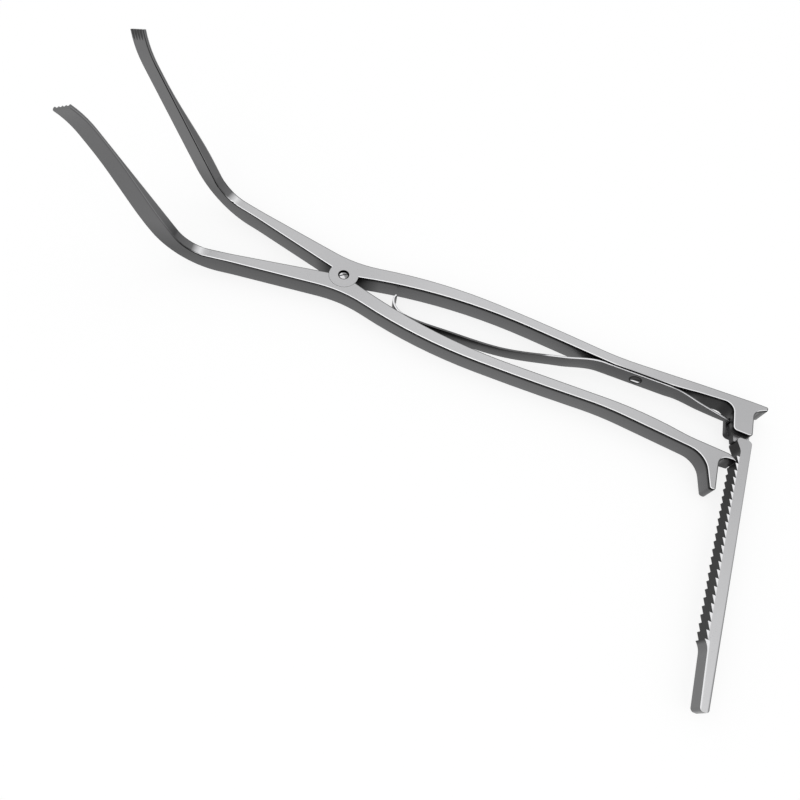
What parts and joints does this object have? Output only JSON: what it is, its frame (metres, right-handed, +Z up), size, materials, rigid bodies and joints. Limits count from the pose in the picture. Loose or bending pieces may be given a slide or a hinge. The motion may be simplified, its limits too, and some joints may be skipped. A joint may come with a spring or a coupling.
{
  "type": "vertebral distractor",
  "caption": "Surgical spreader with two lap-jointed steel levers, upturned serrated blades, a leaf spring and a swinging toothed rack lock.",
  "frame": {"origin": "on the pivot axis, in the plane of the undersides of the two arms", "axes": "+Z up along the pivot axis, +X towards the blades, +Y towards the arm with the finger hook"},
  "size_m": [0.2536, 0.1194, 0.0667],
  "materials": {
    "arm_steel": "satin",
    "rack_steel": "satin",
    "spring_steel": "satin",
    "screw_steel": "polished"
  },
  "bodies": {
    "arm_a": {"rack_arm": "arm_steel", "leaf_spring": "spring_steel", "pivot_screw": "screw_steel", "rack_pin": "screw_steel", "spring_screw": "screw_steel"},
    "arm_b": {"pawl_arm": "arm_steel"},
    "rack": {"ratchet_rack": "rack_steel"}
  },
  "joints": [
    {"name": "arm_pivot", "type": "hinge", "parent": "arm_a", "child": "arm_b", "pos_m": [0, 0, 0.004], "axis": [0, 0, 1], "range_deg": [-23.5, 0], "deforming": ["leaf_spring"]},
    {"name": "rack_swing", "type": "hinge", "parent": "arm_a", "child": "rack", "pos_m": [-0.1571, -0.0045, 0.004], "axis": [0, 0, 1], "range_deg": [0, 25], "stiffness_Nm_per_rad": 0.02, "springref_deg": -5.73}
  ]
}
